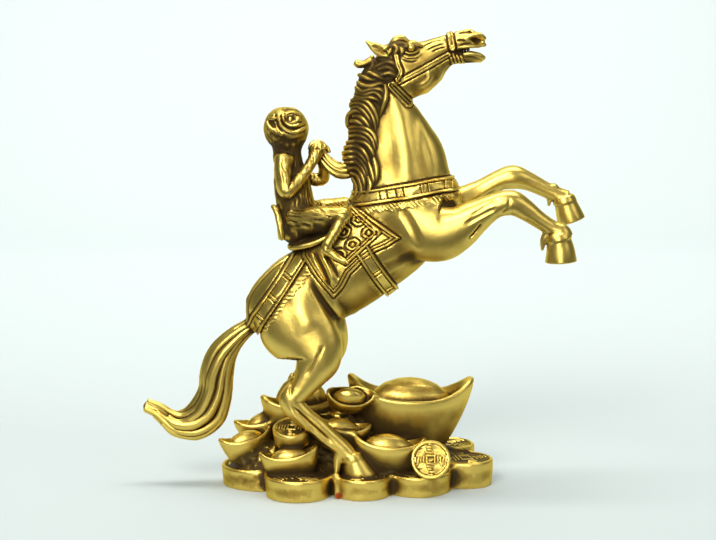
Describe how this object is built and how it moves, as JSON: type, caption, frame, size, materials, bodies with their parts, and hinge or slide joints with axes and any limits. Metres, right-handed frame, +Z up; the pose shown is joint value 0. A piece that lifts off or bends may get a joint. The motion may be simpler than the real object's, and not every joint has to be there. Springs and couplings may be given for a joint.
{
  "type": "cast brass rearing horse and monkey ornament",
  "caption": "Rearing horse with a monkey on its saddle, standing on a heap of coins and boat-shaped ingots, cast in brass.",
  "frame": {"origin": "middle of the flat underside, between the base's ends and its front and back", "axes": "+X the way the horse faces, +Y from the horse's right side to its left, +Z up"},
  "size_m": [0.2635, 0.0952, 0.2691],
  "materials": {
    "brass": "satin brass with dark brown patina in the recesses"
  },
  "bodies": {
    "root": {"monkey_on_horse_casting": "brass"}
  },
  "joints": []
}
